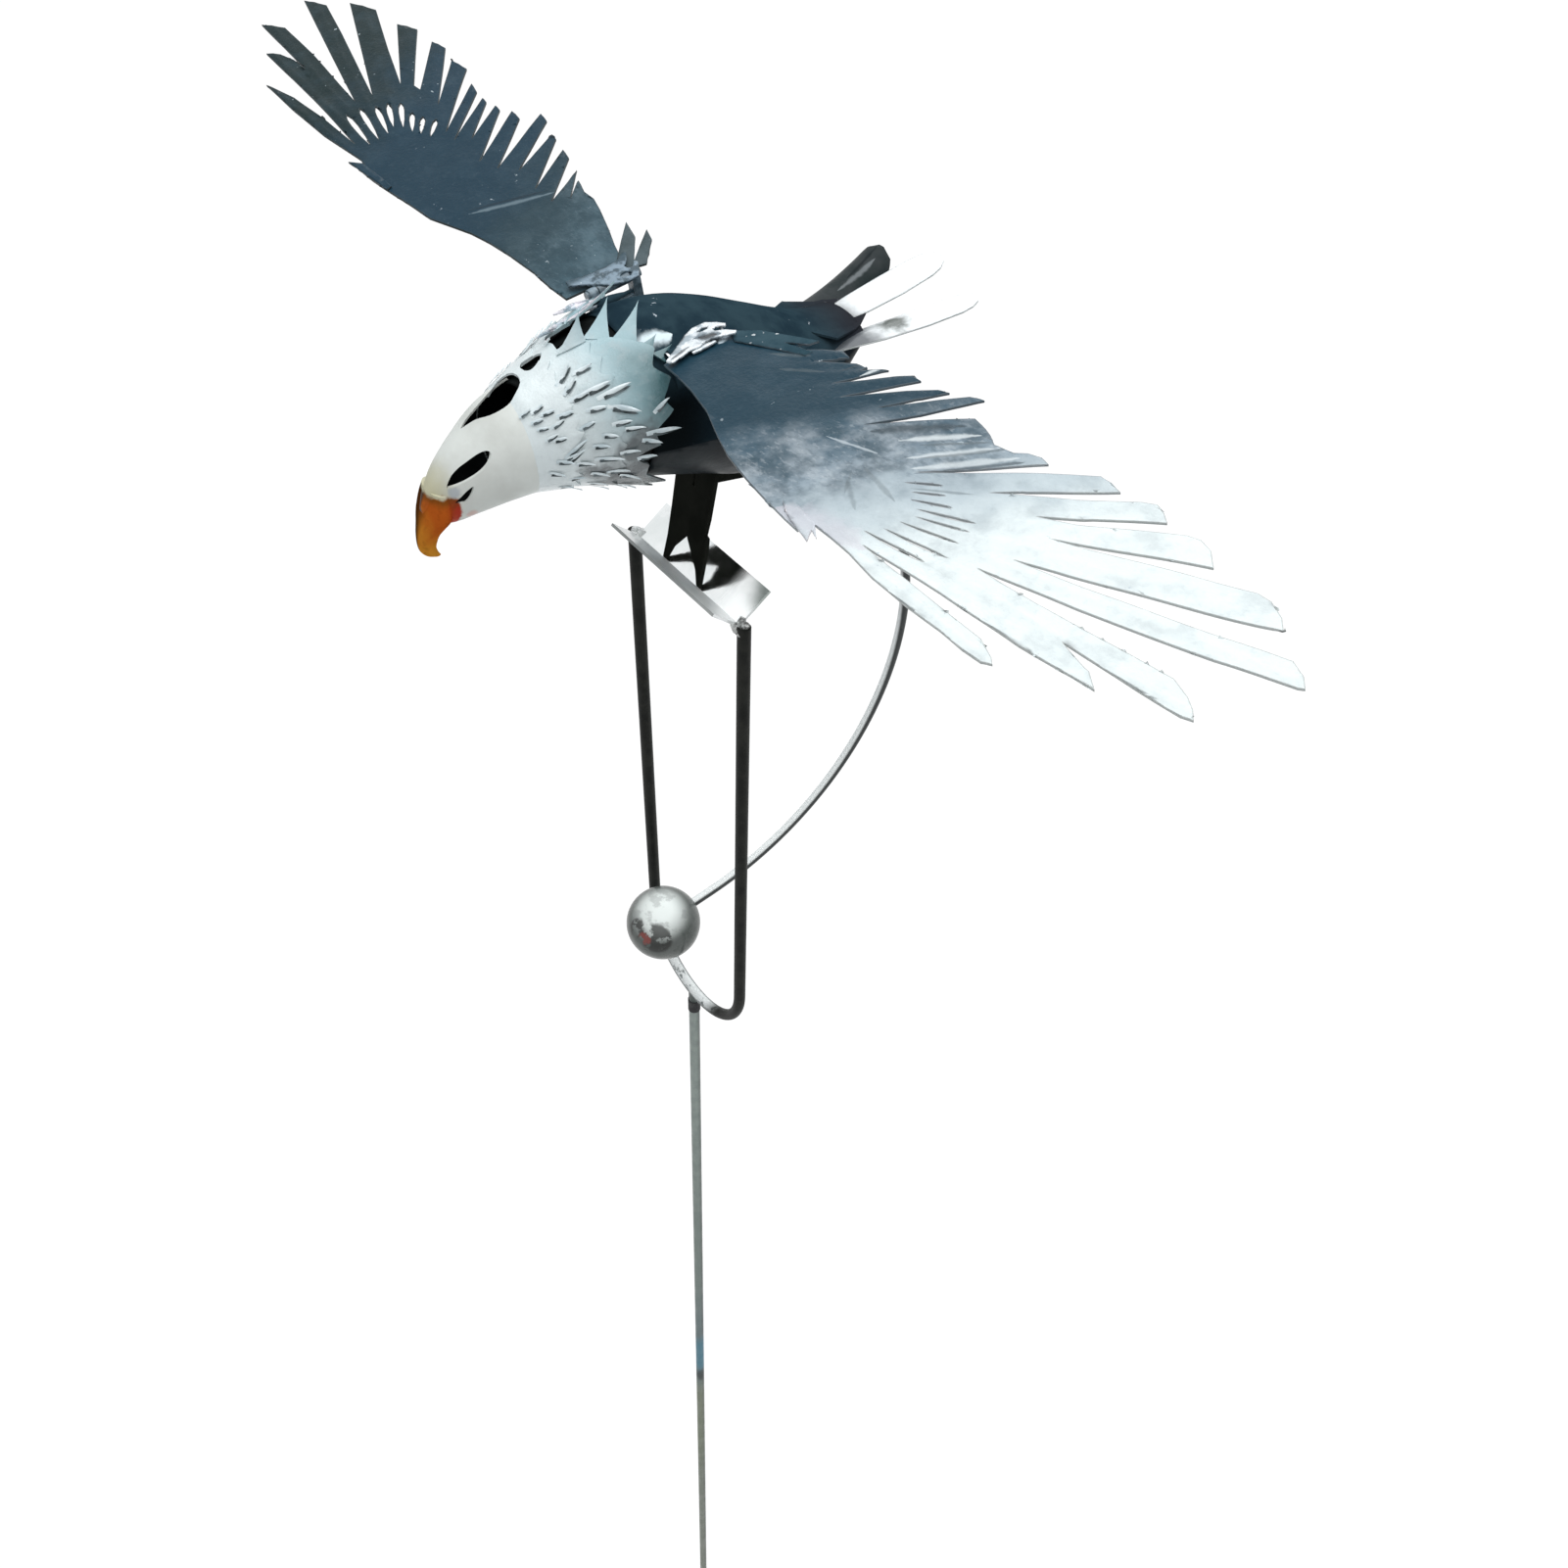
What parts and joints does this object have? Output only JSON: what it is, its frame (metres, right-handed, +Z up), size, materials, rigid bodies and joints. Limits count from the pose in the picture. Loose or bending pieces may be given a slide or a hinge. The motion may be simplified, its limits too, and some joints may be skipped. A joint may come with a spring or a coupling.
{
  "type": "kinetic bird garden stake",
  "caption": "Painted sheet-metal eagle that rocks on a pointed stake, balanced by a curved rod and ball, with a swivelling fork and hinged feathered wings.",
  "frame": {"origin": "on the stake's centre line at the ground line, where the stake is held", "axes": "+Z up along the stake, -Y the way the beak points, +X the bird's left wing"},
  "size_m": [0.5795, 0.2474, 1.4957],
  "materials": {
    "stake_finish": "grey-green painted rod, satin",
    "dark_bush": "dark bearing bush",
    "fork_steel": "hot-rolled rod, dark with bright rub marks at the bend",
    "bright_steel": "bare bright steel",
    "channel_steel": "polished sheet",
    "weld_metal": "lumpy weld bead",
    "leg_black": "black paint, satin",
    "weight_rod_steel": "drawn rod, dark toward the bird",
    "ball_steel": "ground steel ball",
    "slate_paint": "slate blue paint, glossy",
    "belly_black": "near-black paint",
    "inner_black": "black inside of the neck",
    "head_white": "warm white paint, satin",
    "beak_orange": "orange paint shading to red",
    "cape_white": "white paint with blue-grey shading",
    "cape_blue": "pale blue-grey paint",
    "tail_white": "white paint with a dark smudge",
    "tail_dark": "dark paint, glossy",
    "left_wing_paint": "slate blue fading to white at the tips",
    "right_wing_paint": "dark slate blue with grey mottling"
  },
  "bodies": {
    "stake": {"stake_rod": "stake_finish", "swivel_bush": "dark_bush"},
    "fork": {"fork_rod": "fork_steel", "swivel_stub": "stake_finish", "swivel_pin": "bright_steel", "v_channel": "channel_steel", "left_weld": "weld_metal", "right_weld": "weld_metal"},
    "rocker": {"leg_plate": "leg_black", "keel_strap": "leg_black", "counterweight_rod": "weight_rod_steel", "counterweight_ball": "ball_steel", "back_shell": "slate_paint", "belly_shell": "belly_black", "neck_shell": "inner_black", "head_shell": "head_white", "beak": "beak_orange", "front_cape": "cape_white", "middle_cape": "cape_white", "rear_cape": "cape_blue", "tail_cover": "slate_paint", "tail_feather_left": "tail_white", "tail_feather_middle": "tail_white", "tail_feather_right": "tail_dark", "left_shoulder_bracket": "slate_paint", "left_hinge_pin": "bright_steel", "right_shoulder_bracket": "slate_paint", "right_hinge_pin": "bright_steel"},
    "left_wing": {"left_wing_sheet": "left_wing_paint", "left_wing_barrel": "bright_steel", "left_root_tab": "bright_steel", "left_wrist_feather": "left_wing_paint", "left_root_feathers": "left_wing_paint"},
    "right_wing": {"right_wing_sheet": "right_wing_paint", "right_wing_barrel": "bright_steel", "right_root_tab": "bright_steel", "right_wrist_feather": "right_wing_paint", "right_root_feathers": "right_wing_paint"}
  },
  "joints": [
    {"name": "fork_swivel", "type": "hinge", "parent": "stake", "child": "fork", "pos_m": [0, 0, 0.9], "axis": [0, 0, 1], "continuous": true},
    {"name": "rocking_toes", "type": "hinge", "parent": "fork", "child": "rocker", "pos_m": [0, 0, 1.197], "axis": [1, 0, 0], "range_deg": [-20, 20]},
    {"name": "left_wing_flap", "type": "hinge", "parent": "rocker", "child": "left_wing", "pos_m": [0.022, -0.01, 1.316], "axis": [0, -0.9869, -0.1616], "range_deg": [0, 28]},
    {"name": "right_wing_flap", "type": "hinge", "parent": "rocker", "child": "right_wing", "pos_m": [-0.032, -0.01, 1.316], "axis": [0, 0.9869, 0.1616], "range_deg": [0, 28]}
  ]
}
